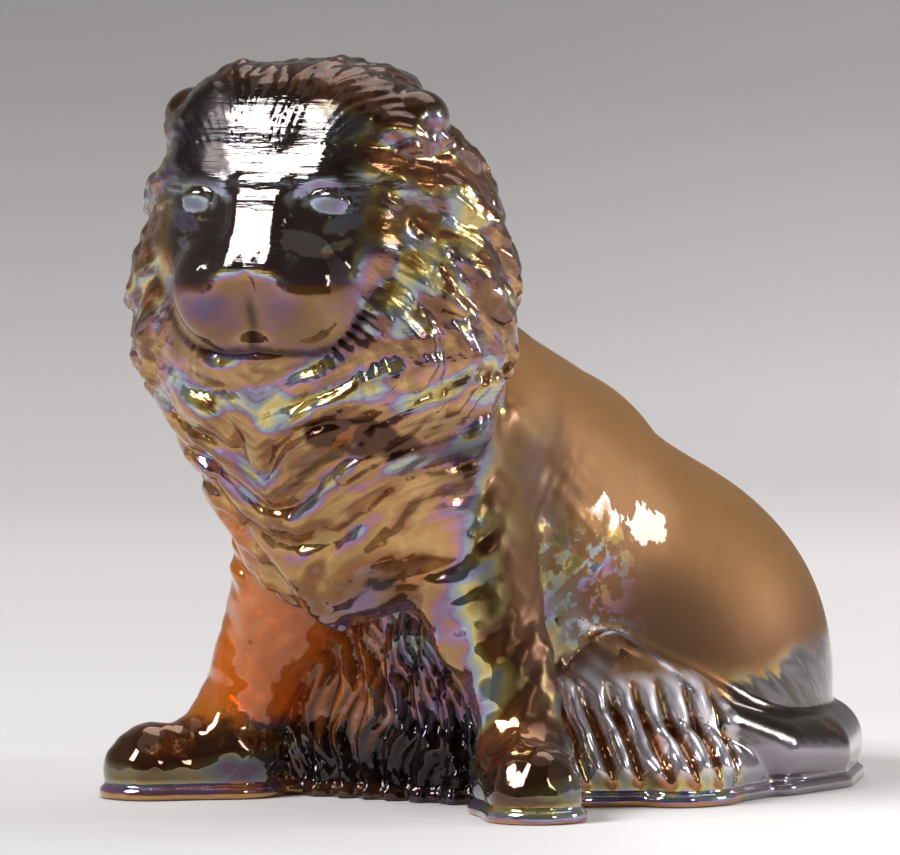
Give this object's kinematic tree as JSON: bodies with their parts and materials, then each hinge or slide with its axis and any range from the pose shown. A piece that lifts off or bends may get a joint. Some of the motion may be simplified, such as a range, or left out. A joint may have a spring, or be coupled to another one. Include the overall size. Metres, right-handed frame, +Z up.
{
  "type": "glass lion figurine",
  "caption": "Seated lion figurine in dark amber iridised glass, with a full mane, standing on its flat underside.",
  "frame": {"origin": "on the flat underside, midway between the left and right paws, a little in front of its middle", "axes": "+Z up, -Y the way the lion looks, +X its left side, where its tail lies"},
  "size_m": [0.1129, 0.1613, 0.1379],
  "materials": {
    "iridised_glass": "dense amber glass, glossy, with a thin iridescent film in gold, violet and blue"
  },
  "bodies": {
    "root": {"lion": "iridised_glass"}
  },
  "joints": []
}
